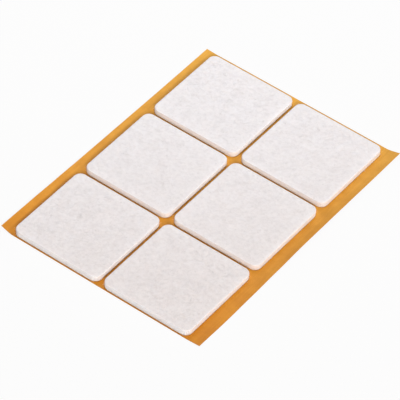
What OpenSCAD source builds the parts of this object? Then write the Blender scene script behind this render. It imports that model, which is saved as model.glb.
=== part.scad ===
// Sheet of self-adhesive felt furniture sliders.
// Square felt pads sit in a grid on a release liner. Each pad is a laminate: felt, a coat of
// adhesive, a tissue carrier and the coat of adhesive that the liner protects until use.
// X runs across the columns, Y along the rows from front to back, and Z up from the liner's
// underside. The origin is the middle of that underside.

/* [Pads] */
// Side of each square pad
pad_side = 40; // [25:0.5:60]
// Radius of a pad's corners, seen from above
pad_corner_r = 3; // [1.5:0.25:10]
// Thickness of the felt
felt_t = 2.5; // [1.2:0.1:8]
// Radius that the die leaves on the felt's upper edge
felt_edge_r = 0.3; // [0.1:0.05:1]

/* [Tape] */
// Thickness of the adhesive coat between felt and carrier
bond_coat_t = 0.06; // [0.04:0.01:0.2]
// Thickness of the tissue carrier inside the tape
carrier_t = 0.08; // [0.04:0.01:0.2]
// Thickness of the adhesive coat that sticks to the furniture
stick_coat_t = 0.06; // [0.04:0.01:0.2]

/* [Layout] */
// Gap between the two columns of pads
column_gap = 2.2; // [1:0.1:10]
// Gap between neighbouring rows of pads
row_gap = 2.6; // [1:0.1:10]

/* [Liner] */
// Thickness of the release liner
liner_t = 0.15; // [0.08:0.01:0.4]
// Bare liner to the left of the pads
left_margin = 5.1; // [2:0.1:15]
// Bare liner to the right of the pads
right_margin = 6; // [2:0.1:15]
// Bare liner in front of the first row
front_margin = 0.5; // [0.4:0.1:10]
// Bare liner behind the last row
back_margin = 2.8; // [0.4:0.1:10]
// Height by which the liner's highest corner curls up
curl_height = 1.6; // [0.4:0.1:5]

/* [Hidden] */
// Names of the columns from left to right and of the rows from front to back
column_names = ["left", "right"];
row_names = ["front", "middle", "back"];
// Layers of one pad, from the liner upwards
layer_names = ["stick_coat", "tape_carrier", "bond_coat", "felt_pad"];

// Lift of the liner's left and right edges, as shares of curl_height at even steps from front to back
left_lift_shares = [1, 0.92, 0.7, 0.48, 0.36, 0.26, 0.16, 0.14, 0.16];
right_lift_shares = [0.26, 0, 0.22, 0.54, 0.92, 0.95, 0.9, 0.85, 0.92];
// Power by which the lift grows across a margin: 1 is a straight slope from the pads, 2 a round curl
curl_bend = 1.3;
// Facets of a curled margin along its length and across its width
curl_steps_along = 32;
curl_steps_across = 5;
// Facets of a pad's corners and of the felt's upper edge
corner_facets = 64;
edge_facets = 32;

columns = len(column_names);
rows = len(row_names);
column_pitch = pad_side + column_gap;
row_pitch = pad_side + row_gap;
block_w = columns * column_pitch - column_gap;
block_l = rows * row_pitch - row_gap;
liner_w = left_margin + block_w + right_margin;
liner_l = front_margin + block_l + back_margin;

// Where the block of pads starts and ends on the liner
block_left = left_margin - liner_w / 2;
block_right = block_left + block_w;
liner_front = -liner_l / 2;
block_front = liner_front + front_margin;

// Underside of each layer of a pad
stick_coat_z = liner_t;
tape_carrier_z = stick_coat_z + stick_coat_t;
bond_coat_z = tape_carrier_z + carrier_t;
felt_z = bond_coat_z + bond_coat_t;

function pad_name(row, column) = str(row_names[row], "_", column_names[column]);
function node_name(layer, row, column) = str(layer, "_", pad_name(row, column));

// Value of a table of shares at place from 0 to 1 along it, eased between its steps
function eased(t) = (1 - cos(180 * t)) / 2;
function share_at(shares, place) =
    let (
        last = len(shares) - 1,
        step = min(floor(place * last), last - 1)
    )
    shares[step] + (shares[step + 1] - shares[step]) * eased(place * last - step);

// Outline of a pad, centred on the origin
module pad_outline() {
    straight = pad_side - 2 * pad_corner_r;
    square([pad_side, straight], center = true);
    square([straight, pad_side], center = true);
    for (x = [-straight / 2, straight / 2], y = [-straight / 2, straight / 2])
        translate([x, y])
            circle(r = pad_corner_r, $fn = corner_facets);
}

// Flat layer of a pad
module pad_layer(thickness) {
    linear_extrude(height = thickness)
        pad_outline();
}

// Section through the felt's border: as wide as the corner radius, with its outer upper edge rounded
module felt_border_section() {
    square([pad_corner_r, felt_t - felt_edge_r]);
    square([pad_corner_r - felt_edge_r, felt_t]);
    translate([pad_corner_r - felt_edge_r, felt_t - felt_edge_r])
        circle(r = felt_edge_r, $fn = edge_facets);
}

// Felt of one pad: a flat middle, four borders and four round corners
module felt_pad() {
    straight = pad_side - 2 * pad_corner_r;
    color("whitesmoke")
        union() {
            translate([-straight / 2, -straight / 2, 0])
                cube([straight, straight, felt_t]);
            for (turn = [0 : 90 : 270])
                rotate([0, 0, turn])
                    translate([straight / 2, straight / 2, 0]) {
                        rotate_extrude(angle = 90, $fn = corner_facets)
                            felt_border_section();
                        rotate([90, 0, 0])
                            linear_extrude(height = straight)
                                felt_border_section();
                    }
        }
}

// Adhesive that bonds the felt to the carrier
module bond_coat() {
    color("antiquewhite")
        pad_layer(bond_coat_t);
}

// Tissue that carries the two coats of adhesive
module tape_carrier() {
    color("linen")
        pad_layer(carrier_t);
}

// Adhesive that sticks the pad to the furniture once the liner is off
module stick_coat() {
    color("wheat")
        pad_layer(stick_coat_t);
}

// Point of a margin's sheet: inner is the margin's inner edge, width is negative to the left
function margin_point(inner, width, shares, along, across, level) = [
    inner + width * across,
    liner_front + liner_l * along,
    level + curl_height * share_at(shares, along) * pow(across, curl_bend)
];

// Bare margin that curls up from the edge of the pads, as one closed sheet
module curled_margin(inner, width, shares) {
    ring = 2 * (curl_steps_across + 1);
    points = [
        for (i = [0 : curl_steps_along], level = [0, liner_t], j = [0 : curl_steps_across])
            margin_point(inner, width, shares, i / curl_steps_along, j / curl_steps_across, level)
    ];
    // Corners of one section, round its outline
    outline = concat(
        [for (j = [0 : curl_steps_across]) j],
        [for (j = [curl_steps_across : -1 : 0]) curl_steps_across + 1 + j]
    );
    sides = [
        for (i = [0 : curl_steps_along - 1], k = [0 : ring - 1])
            let (
                a = i * ring + outline[k],
                b = i * ring + outline[(k + 1) % ring]
            )
            each [[a, b, b + ring], [a, b + ring, a + ring]]
    ];
    caps = [
        for (j = [0 : curl_steps_across - 1])
            let (
                top = curl_steps_across + 1 + j,
                back = curl_steps_along * ring
            )
            each [
                [j, top, j + 1], [top, top + 1, j + 1],
                [back + j, back + j + 1, back + top], [back + top, back + j + 1, back + top + 1]
            ]
    ];
    faces = concat(sides, caps);
    // The same faces seen from outside whichever way the margin runs
    polyhedron(
        points = points,
        faces = width > 0 ? faces : [for (face = faces) [face[2], face[1], face[0]]]
    );
}

// Release liner: flat under the pads, with two margins that curl
module liner() {
    color("goldenrod")
        union() {
            translate([block_left, liner_front, 0])
                cube([block_w, liner_l, liner_t]);
            curled_margin(block_left, -left_margin, left_lift_shares);
            curled_margin(block_right, right_margin, right_lift_shares);
        }
}

// Moves a layer of a pad to its place on the liner
module at_pad(row, column, height) {
    translate([
        block_left + pad_side / 2 + column * column_pitch,
        block_front + pad_side / 2 + row * row_pitch,
        height
    ])
        children();
}

liner();
for (row = [0 : rows - 1], column = [0 : columns - 1]) {
    at_pad(row, column, stick_coat_z) stick_coat();
    at_pad(row, column, tape_carrier_z) tape_carrier();
    at_pad(row, column, bond_coat_z) bond_coat();
    at_pad(row, column, felt_z) felt_pad();
}
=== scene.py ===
"""A sheet of felt furniture sliders: felt pads on double-coated tape, on an orange release liner."""
import math
import random

import bmesh
import bpy
from mathutils import Matrix, Vector, noise


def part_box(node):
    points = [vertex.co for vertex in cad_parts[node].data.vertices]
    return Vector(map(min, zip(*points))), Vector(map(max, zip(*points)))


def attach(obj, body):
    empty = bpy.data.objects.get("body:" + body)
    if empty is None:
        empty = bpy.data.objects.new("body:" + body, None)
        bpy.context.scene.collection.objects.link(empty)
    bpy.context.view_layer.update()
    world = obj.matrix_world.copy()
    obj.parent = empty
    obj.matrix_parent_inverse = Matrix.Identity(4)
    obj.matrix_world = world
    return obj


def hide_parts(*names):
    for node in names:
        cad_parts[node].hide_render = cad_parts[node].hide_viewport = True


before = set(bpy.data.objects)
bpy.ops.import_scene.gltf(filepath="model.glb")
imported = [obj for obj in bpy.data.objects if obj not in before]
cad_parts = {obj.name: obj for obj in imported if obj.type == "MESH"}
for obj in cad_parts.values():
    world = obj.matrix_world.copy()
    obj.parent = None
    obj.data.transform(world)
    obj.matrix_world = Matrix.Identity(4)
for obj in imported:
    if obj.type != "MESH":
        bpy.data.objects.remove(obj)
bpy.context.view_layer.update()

# Lengths are in metres, and angles in radians unless a comment says degrees
MM = 0.001

ROWS = ("front", "middle", "back")
COLUMNS = ("left", "right")
PADS = [f"{row}_{column}" for row in ROWS for column in COLUMNS]

# Radius of a pad's corners, seen from above
PAD_CORNER_R = 3.0 * MM

# Felt: radius of its die-cut edge, sag of its top beside that edge, size and height of its lumps
FELT_EDGE_R = 0.26 * MM
FELT_EDGE_SAG = 0.05 * MM
FELT_SAG_WIDTH = 0.7 * MM
FELT_LUMPS = ((3.0 * MM, 0.024 * MM), (1.2 * MM, 0.017 * MM), (0.6 * MM, 0.008 * MM))
# How far the pattern of lumps moves from one pad to the next, in lumps
FELT_LUMP_SHIFT = (3.1, 1.7, 2.3)
# Cells of its mesh along a side, and steps round its rounded edge and down its wall
FELT_CELLS = 96
FELT_RIM_STEPS = 4
FELT_WALL_STEPS = 6

# Loose fibres of each pad, which lie on its face or stand out of its cut edge: how many, and the
# least and most of their length and radius
FACE_FIBRES = 1500
EDGE_FIBRES = 520
FACE_FIBRE_LENGTH = (1.4 * MM, 4.6 * MM)
EDGE_FIBRE_LENGTH = (0.35 * MM, 1.1 * MM)
FIBRE_R = (0.010 * MM, 0.019 * MM)
# Height of a fibre's arch over the face, and depth of its roots in the felt
FIBRE_RISE = (0.02 * MM, 0.09 * MM)
FIBRE_ROOT = 0.05 * MM
# Largest turn at each step: the part that a fibre keeps, and the part that changes with every step
FIBRE_BEND = 0.55
FIBRE_WANDER = 0.2
# Spread of the edge fibres' headings, and rise of their tips as a share of the shortest length
EDGE_FIBRE_SPREAD = 0.7
EDGE_FIBRE_TILT = (-0.3, 0.5)
# Steps along a fibre, sides round it, and the number that each pad's random seed is added to
FIBRE_STEPS = 5
FIBRE_SIDES = 3
FIBRE_SEED = 1000

# Tape: cells of its mesh along a side, how far each layer creeps back from the pad's outline, and the
# waves of its edge
TAPE_CELLS = 40
TAPE_INSET = {"bond_coat": 0.05 * MM, "tape_carrier": 0.02 * MM, "stick_coat": 0.06 * MM}
TAPE_WAVE = 0.035 * MM
TAPE_WAVE_LENGTH = 0.9 * MM
# Share of a wave by which the edge moves inwards as a whole
TAPE_WAVE_INWARDS = 0.5
# How far the pattern of waves moves from one pad to the next and for each metre of height, in waves
TAPE_WAVE_SHIFT = (5.3, 2.9)
TAPE_WAVE_SHIFT_UP = 4000

# Liner: cells of its mesh, ripple of its margins, power by which their curl grows outwards, and the
# angle from which an edge is sharp
LINER_CELLS_ALONG = 96
LINER_CELLS_MARGIN = 10
LINER_CELLS_MIDDLE = 40
LINER_RIPPLE = 0.05 * MM
LINER_RIPPLE_LENGTH = 9.0 * MM
LINER_CURL_BEND = 1.3
LINER_SHARP_ANGLE = math.radians(40)
# How near the CAD liner's edge a vertex counts as on it, and the digits of its place that count
CAD_EDGE_REACH = 0.01 * MM
CAD_EDGE_DIGITS = 6

# Felt's look: sizes of its clouds and grain, of its tufts, which the needles press flat, and of the
# plies that its cut walls show
FELT_CLOUD = 4.5 * MM
FELT_GRAIN = 0.6 * MM
FELT_TUFT = (1.5 * MM, 1.5 * MM, 0.35 * MM)
FELT_PLY = (1.6 * MM, 1.6 * MM, 0.16 * MM)
# Shares of clouds, tufts and grain in its tone
FELT_TONE_SHARES = (0.24, 0.50, 0.26)
# Its relief: the depth of a share of 1, and the shares of web, tufts and grain, of the needle marks
# and of the plies
FELT_RELIEF = 0.065 * MM
FELT_RELIEF_SHARES = (0.35, 0.5, 0.6)
FELT_NEEDLE_RELIEF = 0.5
FELT_PLY_RELIEF = 1.6
# Needle marks: spacing, where a mark starts to fade and ends, and which of them show, by chance
FELT_NEEDLE_PITCH = 1.9 * MM
FELT_NEEDLE_FADE = (0.08, 0.24)
FELT_NEEDLE_CHANCE = (0.35, 0.75)
# Upward part of the normal at which a wall ends and the face begins
FELT_WALL_FACING = (0.15, 0.8)
# Painted shade: run from back left to front right over which the felt goes from its lit, cooler colours
# to darker, warmer shaded ones, and where on it that starts and ends
FELT_SHADE_RUN = 132.0 * MM
FELT_SHADE_ENDS = (-0.41, 0.59)
# Colours from the darkest tone to the lightest, of the face where it is painted lit and where it is
# painted in shade
FELT_LIT = (
    (0.36, (0.766, 0.748, 0.757)), (0.5, (0.844, 0.827, 0.838)), (0.62, (0.892, 0.878, 0.889)),
)
FELT_SHADED = (
    (0.36, (0.740, 0.694, 0.680)), (0.5, (0.815, 0.769, 0.755)), (0.62, (0.862, 0.818, 0.804)),
)
# Colours of the cut walls and their plies, painted lighter than the face as painted light on the walls
FELT_WALL_PAINTED_LIGHT = (
    (0.36, (0.83, 0.785, 0.77)), (0.5, (0.945, 0.908, 0.893)), (0.62, (0.975, 0.952, 0.942)),
)
LOOSE_FIBRE = (
    (0.0, (0.79, 0.765, 0.757)), (0.35, (0.865, 0.847, 0.843)), (1.0, (0.92, 0.905, 0.905)),
)
# Share and colour of what is laid over those: the fibres of the web, and the painted shade in the
# needle marks
FELT_WEB_TINT = (0.34, (0.92, 0.90, 0.905))
FELT_NEEDLE_SHADE = (0.32, (0.60, 0.58, 0.575))
# Light that passes through the felt: its share, and how far red, green and blue reach
FELT_GLOW = 0.7
FELT_GLOW_REACH = (0.8 * MM, 0.75 * MM, 0.7 * MM)

# Webs of crossing fibres: length, thickness and angles of the fibres
FELT_WEB = (3.0 * MM, 0.16 * MM, (0.3, 1.2, 2.0, 2.8))
TISSUE_WEB = (4.0 * MM, 0.2 * MM, (0.1, 0.9, 2.2))
# How far and over what length a web's fibres stray, and how far its pattern moves for each radian
WEB_STRAY = 0.5 * MM
WEB_STRAY_LENGTH = 2.2 * MM
WEB_SHIFT = (7 * MM, 3 * MM, 0)
# A fibre's middle lies where the noise has this value, and its edge where it is this far from that
WEB_MIDDLE = 0.5
WEB_EDGE = 0.07

# Adhesive's look: size of its clouds, spacing of its bubbles and where a bubble fades, and relief
ADHESIVE_CLOUD = 4.0 * MM
ADHESIVE_BUBBLE_PITCH = 2.4 * MM
ADHESIVE_BUBBLE_FADE = (0.05, 0.11)
ADHESIVE_RELIEF = 0.02 * MM
ADHESIVE_WEB_RELIEF = 0.4
# Tones between which its roughness grows, and that roughness
ADHESIVE_TONES = (0.3, 0.7)
ADHESIVE_ROUGHNESS = (0.22, 0.38)
# Colours from the darkest tone to the lightest, and share and colour of what is laid over them
ADHESIVE_COLOURS = ((0.3, (0.73, 0.65, 0.49)), (0.7, (0.81, 0.74, 0.60)))
ADHESIVE_WEB_TINT = (0.3, (0.86, 0.82, 0.73))
ADHESIVE_BUBBLE_TINT = (0.35, (0.88, 0.85, 0.78))

# Tissue's look, in the same terms
TISSUE_CLOUD = 3.0 * MM
TISSUE_RELIEF = 0.02 * MM
TISSUE_COLOURS = ((0.3, (0.78, 0.73, 0.64)), (0.7, (0.85, 0.81, 0.74)))
TISSUE_WEB_TINT = (0.4, (0.90, 0.88, 0.83))

# Liner's look: sizes of its clouds, of its streaks, which run along it, and of its specks
LINER_CLOUD = 6.0 * MM
LINER_STREAK = (0.5 * MM, 14.0 * MM, 1.0)
LINER_SPECK = 0.35 * MM
# Shares of clouds, streaks and specks in its tone
LINER_TONE_SHARES = (0.5, 0.3, 0.2)
# Its relief: the depth of the cut line, and the share of the tone
LINER_RELIEF = 0.02 * MM
LINER_TONE_RELIEF = 0.6
# Tones between which its roughness grows, that roughness, and its gloss
LINER_TONES = (0.3, 0.7)
LINER_ROUGHNESS = (0.40, 0.52)
LINER_GLOSS = 0.17
# How far leftwards and how far backwards its hue goes halfway from orange to yellow
LINER_HUE_RUN = (260.0 * MM, 71.0 * MM)
# Colours from the darkest tone to the lightest
LINER_ORANGE = (
    (0.36, (0.545, 0.197, 0.012)), (0.5, (0.608, 0.231, 0.016)), (0.64, (0.665, 0.266, 0.022)),
)
LINER_YELLOW = (
    (0.36, (0.658, 0.324, 0.041)), (0.5, (0.738, 0.376, 0.055)), (0.64, (0.803, 0.425, 0.073)),
)
# Upward part of the normal at which its sides end and its upper face begins
LINER_UPPER_FACING = (0.0, 0.5)
# Share and colour of the paper under a pad, and how far inside the pad's outline it is full
LINER_UNDER_TINT = (0.4, (0.69, 0.26, 0.014))
LINER_UNDER_EDGE = 0.3 * MM
# Share and colour of the die's cut line round each pad, and how far to each side it reaches
CUT_LINE_TINT = (0.4, (0.20, 0.088, 0.020))
CUT_LINE_W = 0.15 * MM

# Camera, fitted to the edges of the pads in the photograph
CAMERA_AZIMUTH = math.radians(34.15)
CAMERA_ELEVATION = math.radians(45.53)
CAMERA_ROLL = math.radians(4.11)
CAMERA_TARGET = Vector((1.675, -4.373, 0.15)) * MM
CAMERA_DISTANCE = 1302.6 * MM
# In millimetres, as Blender has them
CAMERA_LENS = 308.58
CAMERA_SENSOR = 36.0

# Studio: a level of 1 shows a white surface that faces the light as white
WORLD_LEVEL = 0.23
FLOOR_SIZE = 4.0
FLOOR_WHITE = 0.7
FLOOR_GLOW_SHARE = 0.92
# Name, azimuth and elevation in degrees, distance, width, height, level and colour of each soft lamp
LAMPS = (
    ("front_softbox", 40, 34, 3.0, 0.9, 0.75, 0.66, (1.0, 0.955, 0.94)),
    ("right_softbox", 108, 38, 3.0, 0.9, 0.75, 0.27, (1.0, 0.96, 0.95)),
    ("top_softbox", 212, 57, 0.38, 0.36, 0.34, 0.42, (1.0, 0.99, 1.0)),
)


# Meshes

def new_object(name, bm, material):
    """An object in the scene from a bmesh, smooth shaded, with one material."""
    mesh = bpy.data.meshes.new(name)
    bm.normal_update()
    bm.to_mesh(mesh)
    bm.free()
    mesh.polygons.foreach_set("use_smooth", [True] * len(mesh.polygons))
    mesh.materials.append(material)
    made = bpy.data.objects.new(name, mesh)
    bpy.context.scene.collection.objects.link(made)
    return made


def outline_point(u, v, half, radius):
    """A point of a rounded square: u and v run from -1 to 1, and either reaches that on the outline."""
    reach = max(abs(u), abs(v))
    if reach == 0:
        return Vector((0, 0, 0))
    u, v = u / reach, v / reach
    straight = half - radius
    swap = abs(v) > abs(u)
    side, along = (v, u) if swap else (u, v)
    run = abs(along) * half
    if run <= straight:
        out, sideways = half, run
    else:
        turn = (run - straight) / radius * math.pi / 4
        out = straight + radius * math.cos(turn)
        sideways = straight + radius * math.sin(turn)
    point = (math.copysign(sideways, along), math.copysign(out, side))
    x, y = point if swap else point[::-1]
    return Vector((x, y, 0)) * reach


def border(across, along):
    """The places round a grid of cells, anticlockwise."""
    return (
        [(i, 0) for i in range(across)] + [(across, j) for j in range(along)]
        + [(across - i, along) for i in range(across)] + [(0, along - j) for j in range(along)]
    )


def grid_vertex(bm, centre, z, half, radius, cells, place):
    """A new vertex at a place of the grid that fills a rounded square."""
    u, v = (2 * step / cells - 1 for step in place)
    point = outline_point(u, v, half, radius)
    return bm.verts.new((centre.x + point.x, centre.y + point.y, z))


def face_grid(bm, centre, z, half, radius, cells, facing):
    """A rounded square filled with quads that face up or down; returns its vertices by grid place."""
    points = {}
    for i in range(cells + 1):
        for j in range(cells + 1):
            points[i, j] = grid_vertex(bm, centre, z, half, radius, cells, (i, j))
    for i in range(cells):
        for j in range(cells):
            quad = [points[i, j], points[i + 1, j], points[i + 1, j + 1], points[i, j + 1]]
            bm.faces.new(quad if facing > 0 else quad[::-1])
    return points


def bridge(bm, lower, upper):
    """Quads between two loops of as many vertices, facing outwards."""
    count = len(lower)
    for k in range(count):
        after = (k + 1) % count
        bm.faces.new((lower[k], lower[after], upper[after], upper[k]))


def rounded_slab(centre, low, high, half, radius, cells, edge_r=0.0, rim_steps=0, wall_steps=1):
    """A closed slab with a rounded square outline, whose upper edge may be rounded."""
    bm = bmesh.new()
    top = face_grid(bm, centre, high, half - edge_r, radius - edge_r, cells, 1)
    places = border(cells, cells)
    loop = [top[place] for place in places]
    # Each ring of the side, from the top down: how far it stands out of the outline, and its height
    rings = []
    for step in range(1, rim_steps + 1):
        turn = step / rim_steps * math.pi / 2
        rings.append((edge_r * (math.sin(turn) - 1), high - edge_r * (1 - math.cos(turn))))
    wall_top = high - edge_r
    for step in range(1, wall_steps):
        rings.append((0.0, wall_top + (low - wall_top) * step / wall_steps))
    for out, z in rings:
        ring = [grid_vertex(bm, centre, z, half + out, radius + out, cells, place) for place in places]
        bridge(bm, ring, loop)
        loop = ring
    bottom = face_grid(bm, centre, low, half, radius, cells, -1)
    bridge(bm, [bottom[place] for place in places], loop)
    bm.normal_update()
    return bm


# Material nodes

def material_tree(name):
    """A new material with its node tree and its Principled shader."""
    material = bpy.data.materials.new(name)
    material.use_nodes = True
    tree = material.node_tree
    return material, tree, tree.nodes["Principled BSDF"]


def set_inputs(shader, **values):
    """Sets values that are the same all over the surface, on the shader's own sockets."""
    for key, value in values.items():
        shader.inputs[key.replace("_", " ")].default_value = value


def add(tree, kind, settings=None, **inputs):
    """A node with its settings and inputs; an input is a value or the output of another node.

    An input goes by its name, with _ for each space, or as i0, i1, i2 by its number.
    """
    node = tree.nodes.new(kind)
    for key, value in (settings or {}).items():
        setattr(node, key, value)
    for key, value in inputs.items():
        socket = node.inputs[int(key[1:]) if key[1:].isdigit() else key.replace("_", " ")]
        if isinstance(value, bpy.types.NodeSocket):
            tree.links.new(value, socket)
        else:
            socket.default_value = value
    return node


def object_place(tree):
    """The place of a point in the object's own frame, which is the CAD's."""
    return add(tree, "ShaderNodeTexCoord").outputs["Object"]


def upward(tree):
    """How far the surface faces up: 1 on top, 0 on a wall and -1 below."""
    normal = add(tree, "ShaderNodeNewGeometry").outputs["True Normal"]
    return add(tree, "ShaderNodeSeparateXYZ", Vector=normal).outputs["Z"]


def math_node(tree, operation, first, second=0.0, third=0.0):
    """The result of a Math node."""
    made = add(tree, "ShaderNodeMath", {"operation": operation}, i0=first, i1=second, i2=third)
    return made.outputs[0]


def product(tree, first, second):
    """Two values multiplied."""
    return math_node(tree, "MULTIPLY", first, second)


def weighted_sum(tree, values, shares):
    """Values added up, each times its share."""
    pairs = list(zip(values, shares))
    total = product(tree, *pairs.pop())
    for value, share in reversed(pairs):
        total = math_node(tree, "MULTIPLY_ADD", value, share, total)
    return total


def vector_node(tree, operation, first, second):
    """The vector that a Vector Math node gives."""
    made = add(tree, "ShaderNodeVectorMath", {"operation": operation}, i0=first, i1=second)
    return made.outputs["Vector"]


def noise_node(tree, where, size, detail, roughness=0.5):
    """A noise texture with features about as large as size."""
    return add(tree, "ShaderNodeTexNoise", Vector=where, Scale=1 / size, Detail=detail,
               Roughness=roughness)


def stretched_noise(tree, where, sizes, detail, roughness=0.5):
    """Noise from 0 to 1 whose features have a size along each axis."""
    scaled = add(tree, "ShaderNodeMapping", {"vector_type": "TEXTURE"}, Vector=where, Scale=sizes)
    return noise_node(tree, scaled.outputs["Vector"], 1.0, detail, roughness).outputs["Fac"]


def remap(tree, value, low, high, to_low=0.0, to_high=1.0):
    """Value moved from one range to another and held inside it."""
    made = add(tree, "ShaderNodeMapRange", Value=value, From_Min=low, From_Max=high,
               To_Min=to_low, To_Max=to_high)
    return made.outputs["Result"]


def fade(tree, value, near, far):
    """1 where the value is up to near, falling to 0 at far."""
    return remap(tree, value, near, far, 1.0, 0.0)


def ramp(tree, value, stops):
    """A colour ramp through (place, colour) stops."""
    made = add(tree, "ShaderNodeValToRGB", Fac=value)
    elements = made.color_ramp.elements
    while len(elements) < len(stops):
        elements.new(1.0)
    for element, (place, colour) in zip(elements, stops):
        element.position = place
        element.color = (*colour, 1)
    return made.outputs["Color"]


def mix(tree, share, first, second):
    """A colour output mixed by a share with a second one, or with a plain colour."""
    made = add(tree, "ShaderNodeMix", {"data_type": "RGBA"}, i0=share, i6=first)
    if isinstance(second, bpy.types.NodeSocket):
        tree.links.new(second, made.inputs[7])
    else:
        made.inputs[7].default_value = (*second, 1)
    return made.outputs[2]


def tint(tree, colour, pattern, share, other):
    """A colour with a share of another laid over it where the pattern is 1."""
    return mix(tree, product(tree, pattern, share), colour, other)


def bump(tree, shader, height, depth, strength):
    """Bends the shader's normals by a height, where 1 stands depth metres high."""
    made = add(tree, "ShaderNodeBump", Height=height, Distance=depth, Strength=strength)
    tree.links.new(made.outputs["Normal"], shader.inputs["Normal"])


def fibre_web(tree, where, long, thin, angles):
    """Crossing curved fibres: 1 along a fibre's middle and 0 between fibres."""
    drift = noise_node(tree, where, WEB_STRAY_LENGTH, detail=1.0).outputs["Color"]
    drift = vector_node(tree, "SUBTRACT", drift, (WEB_MIDDLE,) * 3)
    drift = vector_node(tree, "MULTIPLY", drift, (WEB_STRAY * 2,) * 3)
    bent = vector_node(tree, "ADD", where, drift)
    web = None
    for angle in angles:
        turned = add(tree, "ShaderNodeMapping", {"vector_type": "TEXTURE"}, Vector=bent,
                     Location=[angle * shift for shift in WEB_SHIFT], Rotation=(0, 0, angle),
                     Scale=(long, thin, thin)).outputs["Vector"]
        field = noise_node(tree, turned, 1.0, detail=1.0).outputs["Fac"]
        away = math_node(tree, "ABSOLUTE", math_node(tree, "SUBTRACT", field, WEB_MIDDLE))
        fibre = fade(tree, away, 0.0, WEB_EDGE)
        web = fibre if web is None else math_node(tree, "MAXIMUM", web, fibre)
    return web


def footprint_distance(tree, where):
    """How far a point of the liner is outside the nearest pad's outline; under a pad it is below 0."""
    first_low, first_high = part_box("felt_pad_front_left")
    pitch_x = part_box("felt_pad_front_right")[0].x - first_low.x
    pitch_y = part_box("felt_pad_middle_left")[0].y - first_low.y
    half = (first_high.x - first_low.x) / 2
    middle = (first_low + first_high) / 2
    parts = add(tree, "ShaderNodeSeparateXYZ", Vector=where)
    past = []
    for axis, pitch, start, count in (
        ("X", pitch_x, middle.x, len(COLUMNS)), ("Y", pitch_y, middle.y, len(ROWS)),
    ):
        steps = math_node(tree, "SUBTRACT", parts.outputs[axis], start)
        steps = math_node(tree, "DIVIDE", steps, pitch)
        nearest = math_node(tree, "MAXIMUM", math_node(tree, "ROUND", steps), 0)
        nearest = math_node(tree, "MINIMUM", nearest, count - 1)
        from_middle = product(tree, math_node(tree, "SUBTRACT", steps, nearest), pitch)
        from_middle = math_node(tree, "ABSOLUTE", from_middle)
        past.append(math_node(tree, "SUBTRACT", from_middle, half - PAD_CORNER_R))
    outside = [math_node(tree, "MAXIMUM", value, 0.0) for value in past]
    squares = weighted_sum(tree, outside, outside)
    inside = math_node(tree, "MINIMUM", math_node(tree, "MAXIMUM", *past), 0.0)
    reach = math_node(tree, "ADD", math_node(tree, "SQRT", squares), inside)
    return math_node(tree, "SUBTRACT", reach, PAD_CORNER_R)


# Materials

def felt_material():
    """White needled felt: clouds, tufts, crossing fibres, needle marks with painted shade, plies on its
    cut walls painted lighter, and a face painted darker and warmer towards the front right.
    """
    material, tree, shader = material_tree("white_felt")
    where = object_place(tree)
    clouds = noise_node(tree, where, FELT_CLOUD, detail=3.0).outputs["Fac"]
    tufts = stretched_noise(tree, where, FELT_TUFT, detail=2.0)
    grain = noise_node(tree, where, FELT_GRAIN, detail=2.0, roughness=0.6).outputs["Fac"]
    plies = stretched_noise(tree, where, FELT_PLY, detail=3.0, roughness=0.65)
    web = fibre_web(tree, where, *FELT_WEB)
    marks = add(tree, "ShaderNodeTexVoronoi", Vector=where, Scale=1 / FELT_NEEDLE_PITCH)
    chance = add(tree, "ShaderNodeSeparateColor", Color=marks.outputs["Color"]).outputs["Red"]
    needles = product(tree, fade(tree, marks.outputs["Distance"], *FELT_NEEDLE_FADE),
                      remap(tree, chance, *FELT_NEEDLE_CHANCE))
    wall = fade(tree, upward(tree), *FELT_WALL_FACING)

    tone = weighted_sum(tree, (clouds, tufts, grain), FELT_TONE_SHARES)
    # Painted shade: the face is painted darker and warmer from back left to front right, standing in
    # for the fall of light
    parts = add(tree, "ShaderNodeSeparateXYZ", Vector=where)
    run = math_node(tree, "SUBTRACT", parts.outputs["X"], parts.outputs["Y"])
    painted_shade = remap(tree, math_node(tree, "DIVIDE", run, FELT_SHADE_RUN), *FELT_SHADE_ENDS)
    colour = mix(tree, painted_shade, ramp(tree, tone, FELT_LIT), ramp(tree, tone, FELT_SHADED))
    colour = tint(tree, colour, web, *FELT_WEB_TINT)
    # Painted shade in the dimples of the needle marks
    colour = tint(tree, colour, needles, *FELT_NEEDLE_SHADE)
    # Painted light: the walls take lighter colours than the face
    colour = mix(tree, wall, colour, ramp(tree, plies, FELT_WALL_PAINTED_LIGHT))
    tree.links.new(colour, shader.inputs["Base Color"])
    set_inputs(shader, Roughness=0.95, Specular_IOR_Level=0.2, Sheen_Weight=0.12, Sheen_Roughness=0.6,
               Subsurface_Weight=FELT_GLOW, Subsurface_Radius=FELT_GLOW_REACH, Subsurface_Scale=1.0)

    height = weighted_sum(tree, (web, tufts, grain), FELT_RELIEF_SHARES)
    height = math_node(tree, "SUBTRACT", height, product(tree, needles, FELT_NEEDLE_RELIEF))
    height = math_node(tree, "MULTIPLY_ADD", plies, product(tree, wall, FELT_PLY_RELIEF), height)
    bump(tree, shader, height, FELT_RELIEF, strength=0.8)
    return material


def fibre_material():
    """Loose felt fibres, each a little lighter or darker than the next."""
    material, tree, shader = material_tree("loose_felt_fibre")
    island = add(tree, "ShaderNodeNewGeometry").outputs["Random Per Island"]
    tree.links.new(ramp(tree, island, LOOSE_FIBRE), shader.inputs["Base Color"])
    set_inputs(shader, Roughness=0.7, Specular_IOR_Level=0.25)
    return material


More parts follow.
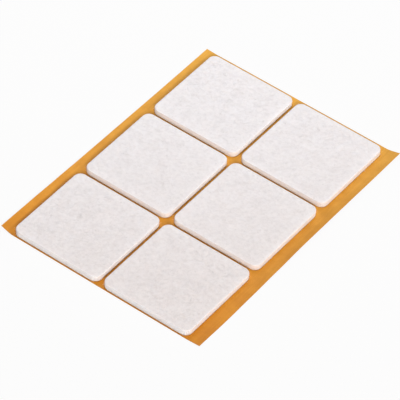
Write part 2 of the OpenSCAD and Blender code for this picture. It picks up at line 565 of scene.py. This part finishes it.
def adhesive_material():
    """Tacky adhesive: a milky film with small trapped bubbles over the fibres of the tissue."""
    material, tree, shader = material_tree("tape_adhesive")
    where = object_place(tree)
    clouds = noise_node(tree, where, ADHESIVE_CLOUD, detail=3.0).outputs["Fac"]
    web = fibre_web(tree, where, *TISSUE_WEB)
    marks = add(tree, "ShaderNodeTexVoronoi", Vector=where, Scale=1 / ADHESIVE_BUBBLE_PITCH)
    bubbles = fade(tree, marks.outputs["Distance"], *ADHESIVE_BUBBLE_FADE)
    colour = ramp(tree, clouds, ADHESIVE_COLOURS)
    colour = tint(tree, colour, web, *ADHESIVE_WEB_TINT)
    colour = tint(tree, colour, bubbles, *ADHESIVE_BUBBLE_TINT)
    tree.links.new(colour, shader.inputs["Base Color"])
    roughness = remap(tree, clouds, *ADHESIVE_TONES, *ADHESIVE_ROUGHNESS)
    tree.links.new(roughness, shader.inputs["Roughness"])
    set_inputs(shader, Coat_Weight=0.25, Coat_Roughness=0.2)
    height = math_node(tree, "MULTIPLY_ADD", web, ADHESIVE_WEB_RELIEF, bubbles)
    bump(tree, shader, height, ADHESIVE_RELIEF, strength=0.6)
    return material


def tissue_material():
    """The tape's tissue carrier: thin paper with long fibres."""
    material, tree, shader = material_tree("tape_tissue")
    where = object_place(tree)
    clouds = noise_node(tree, where, TISSUE_CLOUD, detail=3.0).outputs["Fac"]
    web = fibre_web(tree, where, *TISSUE_WEB)
    colour = tint(tree, ramp(tree, clouds, TISSUE_COLOURS), web, *TISSUE_WEB_TINT)
    tree.links.new(colour, shader.inputs["Base Color"])
    set_inputs(shader, Roughness=0.85)
    bump(tree, shader, web, TISSUE_RELIEF, strength=0.6)
    return material


def liner_material():
    """Orange release paper: cloudy, smooth, with the die's cut line round each pad."""
    material, tree, shader = material_tree("orange_release_paper")
    where = object_place(tree)
    clouds = noise_node(tree, where, LINER_CLOUD, detail=4.0, roughness=0.6).outputs["Fac"]
    streaks = stretched_noise(tree, where, LINER_STREAK, detail=3.0)
    specks = noise_node(tree, where, LINER_SPECK, detail=2.0).outputs["Fac"]
    tone = weighted_sum(tree, (clouds, streaks, specks), LINER_TONE_SHARES)
    parts = add(tree, "ShaderNodeSeparateXYZ", Vector=where)
    across, along = (math_node(tree, "DIVIDE", parts.outputs[axis], run)
                     for axis, run in zip("XY", LINER_HUE_RUN))
    golden = remap(tree, math_node(tree, "SUBTRACT", along, across), -1.0, 1.0)
    colour = mix(tree, golden, ramp(tree, tone, LINER_ORANGE), ramp(tree, tone, LINER_YELLOW))

    upper = remap(tree, upward(tree), *LINER_UPPER_FACING)
    away = footprint_distance(tree, where)
    under = product(tree, fade(tree, away, -LINER_UNDER_EDGE, 0.0), upper)
    from_line = math_node(tree, "ABSOLUTE", away)
    cut = product(tree, fade(tree, from_line, CUT_LINE_W / 2, CUT_LINE_W), upper)
    colour = tint(tree, colour, under, *LINER_UNDER_TINT)
    colour = tint(tree, colour, cut, *CUT_LINE_TINT)
    tree.links.new(colour, shader.inputs["Base Color"])
    roughness = remap(tree, tone, *LINER_TONES, *LINER_ROUGHNESS)
    tree.links.new(roughness, shader.inputs["Roughness"])
    set_inputs(shader, Specular_IOR_Level=LINER_GLOSS)
    height = math_node(tree, "SUBTRACT", product(tree, tone, LINER_TONE_RELIEF), cut)
    bump(tree, shader, height, LINER_RELIEF, strength=0.7)
    return material


# Pieces

def pad_frame(node):
    """Middle, half side, underside and top of a CAD layer of a pad."""
    low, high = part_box(node)
    middle = (low + high) / 2
    return middle, (high.x - low.x) / 2, low.z, high.z


def lumps(point, seed):
    """Height of the felt's uneven surface at a point."""
    shift = Vector([seed * step for step in FELT_LUMP_SHIFT])
    return sum(height * noise.noise(point / size + shift) for size, height in FELT_LUMPS)


def felt_piece(pad, seed, material):
    """The felt of one pad: uneven, with a softened cut edge."""
    middle, half, low, high = pad_frame(f"felt_pad_{pad}")
    bm = rounded_slab(middle, low, high, half, PAD_CORNER_R, FELT_CELLS, FELT_EDGE_R,
                      FELT_RIM_STEPS, FELT_WALL_STEPS)
    for vertex in bm.verts:
        if vertex.co.z > low:
            inside = half - max(abs(vertex.co.x - middle.x), abs(vertex.co.y - middle.y))
            sag = FELT_EDGE_SAG * math.exp(-inside / FELT_SAG_WIDTH) * max(vertex.normal.z, 0)
            vertex.co += vertex.normal * lumps(vertex.co, seed) - Vector((0, 0, sag))
    return new_object(f"felt_{pad}", bm, material)


def tape_piece(layer, pad, seed, material):
    """A layer of tape under the felt, with a slightly wavy edge."""
    middle, half, low, high = pad_frame(f"{layer}_{pad}")
    inset = TAPE_INSET[layer]
    bm = rounded_slab(middle, low, high, half - inset, PAD_CORNER_R - inset, TAPE_CELLS)
    shift = Vector([seed * step for step in TAPE_WAVE_SHIFT] + [high * TAPE_WAVE_SHIFT_UP])
    for vertex in bm.verts:
        out = Vector((vertex.normal.x, vertex.normal.y, 0))
        flat = Vector((vertex.co.x, vertex.co.y, 0)) / TAPE_WAVE_LENGTH
        vertex.co += out * TAPE_WAVE * (noise.noise(flat + shift) - TAPE_WAVE_INWARDS)
    return new_object(f"{layer}_film_{pad}", bm, material)


def add_fibre(bm, points, radius):
    """A thin closed tube through points, pointed at both ends."""
    rings = []
    for before, point, after in zip(points, points[1:], points[2:]):
        along = (after - before).normalized()
        side = along.orthogonal().normalized()
        across = along.cross(side)
        ring = []
        for k in range(FIBRE_SIDES):
            turn = 2 * math.pi * k / FIBRE_SIDES
            out = side * math.cos(turn) + across * math.sin(turn)
            ring.append(bm.verts.new(point + radius * out))
        rings.append(ring)
    first, last = bm.verts.new(points[0]), bm.verts.new(points[-1])
    for k in range(FIBRE_SIDES):
        after = (k + 1) % FIBRE_SIDES
        bm.faces.new((first, rings[0][after], rings[0][k]))
        for lower, upper in zip(rings, rings[1:]):
            bm.faces.new((lower[k], lower[after], upper[after], upper[k]))
        bm.faces.new((rings[-1][k], rings[-1][after], last))


def fibre_path(dice, start, heading, length, rise=0.0, floor=None):
    """Points of a fibre that bends as it goes; over a floor it arches and comes back down."""
    points = [start.copy()]
    turn = dice.uniform(-FIBRE_BEND, FIBRE_BEND)
    spot = start.copy()
    for step in range(1, FIBRE_STEPS + 1):
        wander = dice.uniform(-FIBRE_WANDER, FIBRE_WANDER)
        heading = Matrix.Rotation(turn + wander, 3, "Z") @ heading
        spot = spot + heading * length / FIBRE_STEPS
        lifted = spot.copy()
        if floor is not None:
            lifted.z = floor + rise * math.sin(math.pi * step / FIBRE_STEPS)
        points.append(lifted)
    if floor is not None:
        points[0].z = points[-1].z = floor - FIBRE_ROOT
    return points


def face_fibre(dice, middle, half, high, seed):
    """Path of a loose fibre that lies on a pad's face."""
    reach = 1 - FACE_FIBRE_LENGTH[1] / half / 2
    u, v = dice.uniform(-reach, reach), dice.uniform(-reach, reach)
    start = middle + outline_point(u, v, half, PAD_CORNER_R)
    heading = Matrix.Rotation(dice.uniform(0, 2 * math.pi), 3, "Z") @ Vector((1, 0, 0))
    length, rise = dice.uniform(*FACE_FIBRE_LENGTH), dice.uniform(*FIBRE_RISE)
    path = fibre_path(dice, start, heading, length, rise, high)
    for point in path:
        point.z += lumps(Vector((point.x, point.y, high)), seed)
    return path


def outward(place, half):
    """The way that a pad's cut edge faces at a place of its outline, nearly so in a corner."""
    x, y = (value if abs(value) >= half else 0 for value in place.xy)
    return Vector((x, y, 0)).normalized() if x or y else place.normalized()


def edge_fibre(dice, middle, half, low, high):
    """Path of a loose fibre that stands out of a pad's cut edge."""
    u, v = dice.uniform(-1, 1), dice.choice((-1, 1))
    place = outline_point(*dice.choice(((u, v), (v, u))), half, PAD_CORNER_R)
    out = outward(place, half)
    heading = Matrix.Rotation(dice.gauss(0, EDGE_FIBRE_SPREAD), 3, "Z") @ out
    height = dice.uniform(low + FELT_EDGE_R, high - FELT_EDGE_R)
    start = Vector((middle.x, middle.y, height)) + place - out * FIBRE_ROOT
    path = fibre_path(dice, start, heading, dice.uniform(*EDGE_FIBRE_LENGTH))
    tilt = dice.uniform(*EDGE_FIBRE_TILT)
    for step, point in enumerate(path):
        point.z += tilt * step / FIBRE_STEPS * EDGE_FIBRE_LENGTH[0]
    return path


def fuzz_piece(pad, seed, material):
    """The loose fibres of a pad."""
    middle, half, low, high = pad_frame(f"felt_pad_{pad}")
    dice = random.Random(FIBRE_SEED + seed)
    bm = bmesh.new()
    for _ in range(FACE_FIBRES):
        path = face_fibre(dice, middle, half, high, seed)
        add_fibre(bm, path, dice.uniform(*FIBRE_R))
    for _ in range(EDGE_FIBRES):
        path = edge_fibre(dice, middle, half, low, high)
        add_fibre(bm, path, dice.uniform(*FIBRE_R))
    return new_object(f"felt_fuzz_{pad}", bm, material)


def edge_heights(mesh, x):
    """Places along Y and heights of a CAD mesh's underside along its edge at x."""
    heights = {}
    for vertex in mesh.vertices:
        if abs(vertex.co.x - x) < CAD_EDGE_REACH:
            y = round(vertex.co.y, CAD_EDGE_DIGITS)
            heights[y] = min(vertex.co.z, heights.get(y, vertex.co.z))
    return sorted(heights.items())


def height_at(heights, y):
    """Height at y along an edge, in a straight line between the CAD's own places."""
    for (y0, z0), (y1, z1) in zip(heights, heights[1:]):
        if y <= y1:
            share = min(max((y - y0) / (y1 - y0), 0), 1)
            return z0 + (z1 - z0) * share
    return heights[-1][1]


def liner_piece(material):
    """The release liner: flat under the pads, with margins that curl as the CAD's do."""
    low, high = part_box("liner")
    block_low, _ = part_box("felt_pad_front_left")
    _, block_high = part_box("felt_pad_back_right")
    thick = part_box("stick_coat_front_left")[0].z - low.z
    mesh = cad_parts["liner"].data
    margins = {
        "left": (edge_heights(mesh, low.x), block_low.x, low.x),
        "right": (edge_heights(mesh, high.x), block_high.x, high.x),
    }
    # Each column of the grid: the margin or the middle that it is in, and how far across that it lies
    spread = [step / LINER_CELLS_MARGIN for step in range(1, LINER_CELLS_MARGIN + 1)]
    columns = [("left", share) for share in spread[::-1]]
    columns += [("middle", step / LINER_CELLS_MIDDLE) for step in range(LINER_CELLS_MIDDLE + 1)]
    columns += [("right", share) for share in spread]
    bm = bmesh.new()
    lower, upper = {}, {}
    for i, (part, share) in enumerate(columns):
        for j in range(LINER_CELLS_ALONG + 1):
            y = low.y + (high.y - low.y) * j / LINER_CELLS_ALONG
            if part in margins:
                heights, inner, outer = margins[part]
                x = inner + (outer - inner) * share
                ripple = LINER_RIPPLE * noise.noise(Vector((x, y, 0)) / LINER_RIPPLE_LENGTH)
                z = max((height_at(heights, y) + ripple) * share ** LINER_CURL_BEND, 0.0)
            else:
                x = block_low.x + (block_high.x - block_low.x) * share
                z = low.z
            lower[i, j] = bm.verts.new((x, y, z))
            upper[i, j] = bm.verts.new((x, y, z + thick))
    last_i = len(columns) - 1
    for i in range(last_i):
        for j in range(LINER_CELLS_ALONG):
            corners = ((i, j), (i + 1, j), (i + 1, j + 1), (i, j + 1))
            bm.faces.new([upper[corner] for corner in corners])
            bm.faces.new([lower[corner] for corner in reversed(corners)])
    rim = border(last_i, LINER_CELLS_ALONG)
    bridge(bm, [lower[place] for place in rim], [upper[place] for place in rim])
    made = new_object("liner_paper", bm, material)
    made.data.set_sharp_from_angle(angle=LINER_SHARP_ANGLE)
    return made


# Stage

def direction(azimuth, elevation):
    """A unit vector to a viewer or a lamp; azimuth 0 is in front, and 90 degrees to the right."""
    flat = math.cos(elevation)
    return Vector((math.sin(azimuth) * flat, -math.cos(azimuth) * flat, math.sin(elevation)))


def seen_by_eye(tree):
    """1 for rays that the camera, a reflection or a clear surface sends, and 0 for light."""
    path = add(tree, "ShaderNodeLightPath")
    seen = math_node(tree, "MAXIMUM", path.outputs["Is Camera Ray"], path.outputs["Is Glossy Ray"])
    return math_node(tree, "MAXIMUM", seen, path.outputs["Is Transmission Ray"])


def build_floor():
    """A pale floor that shows white and keeps the sheet's shadow."""
    bpy.ops.mesh.primitive_plane_add(size=FLOOR_SIZE)
    floor = bpy.context.object
    floor.name = "floor"
    material, tree, shader = material_tree("pale_floor")
    tree.nodes.remove(shader)
    paint = add(tree, "ShaderNodeBsdfDiffuse", Color=(FLOOR_WHITE,) * 3 + (1,)).outputs["BSDF"]
    glow = add(tree, "ShaderNodeEmission", Strength=1.0).outputs["Emission"]
    share = product(tree, seen_by_eye(tree), FLOOR_GLOW_SHARE)
    shown = add(tree, "ShaderNodeMixShader", i0=share, i1=paint, i2=glow).outputs["Shader"]
    tree.links.new(shown, tree.nodes["Material Output"].inputs["Surface"])
    floor.data.materials.append(material)


def build_lights():
    """Even light from all round, white to the eye, and soft lamps aimed at the sheet."""
    world = bpy.data.worlds.new("studio")
    bpy.context.scene.world = world
    world.use_nodes = True
    tree = world.node_tree
    sky = tree.nodes["Background"]
    sky.inputs["Color"].default_value = (1, 1, 1, 1)
    strength = remap(tree, seen_by_eye(tree), 0, 1, WORLD_LEVEL, 1.0)
    tree.links.new(strength, sky.inputs["Strength"])
    for name, azimuth, elevation, distance, width, height, level, colour in LAMPS:
        lamp = bpy.data.lights.new(name, "AREA")
        lamp.shape = "RECTANGLE"
        lamp.size, lamp.size_y = width, height
        lamp.energy = level * (math.pi * distance) ** 2
        lamp.color = colour
        softbox = bpy.data.objects.new(name, lamp)
        back = direction(math.radians(azimuth), math.radians(elevation))
        turn = back.to_track_quat("Z", "Y").to_matrix().to_4x4()
        softbox.matrix_world = Matrix.Translation(back * distance) @ turn
        softbox.visible_camera = False
        bpy.context.scene.collection.objects.link(softbox)


def build_camera():
    """The photograph's camera: a long lens, turned a little about its own axis."""
    back = direction(CAMERA_AZIMUTH, CAMERA_ELEVATION)
    level = Vector((0, 0, 1)).cross(back).normalized()
    upright = back.cross(level)
    right = level * math.cos(CAMERA_ROLL) + upright * math.sin(CAMERA_ROLL)
    up = back.cross(right)
    data = bpy.data.cameras.new("camera")
    data.lens = CAMERA_LENS
    data.sensor_width = CAMERA_SENSOR
    camera = bpy.data.objects.new("camera", data)
    turn = Matrix((right, up, back)).transposed().to_4x4()
    camera.matrix_world = Matrix.Translation(CAMERA_TARGET + back * CAMERA_DISTANCE) @ turn
    bpy.context.scene.collection.objects.link(camera)
    bpy.context.scene.camera = camera


build_camera()
build_floor()
build_lights()

felt, loose_fibre = felt_material(), fibre_material()
adhesive, tissue = adhesive_material(), tissue_material()
tape_materials = {"bond_coat": adhesive, "tape_carrier": tissue, "stick_coat": adhesive}

liner = liner_piece(liner_material())
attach(liner, "liner")
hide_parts("liner")

for seed, pad in enumerate(PADS, 1):
    body = f"pad_{pad}"
    felt_pad = felt_piece(pad, seed, felt)
    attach(felt_pad, body)
    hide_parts(f"felt_pad_{pad}")
    fuzz = fuzz_piece(pad, seed, loose_fibre)
    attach(fuzz, body)
    for layer, material in tape_materials.items():
        film = tape_piece(layer, pad, seed, material)
        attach(film, body)
        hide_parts(f"{layer}_{pad}")

bpy.context.scene.view_settings.view_transform = "Standard"
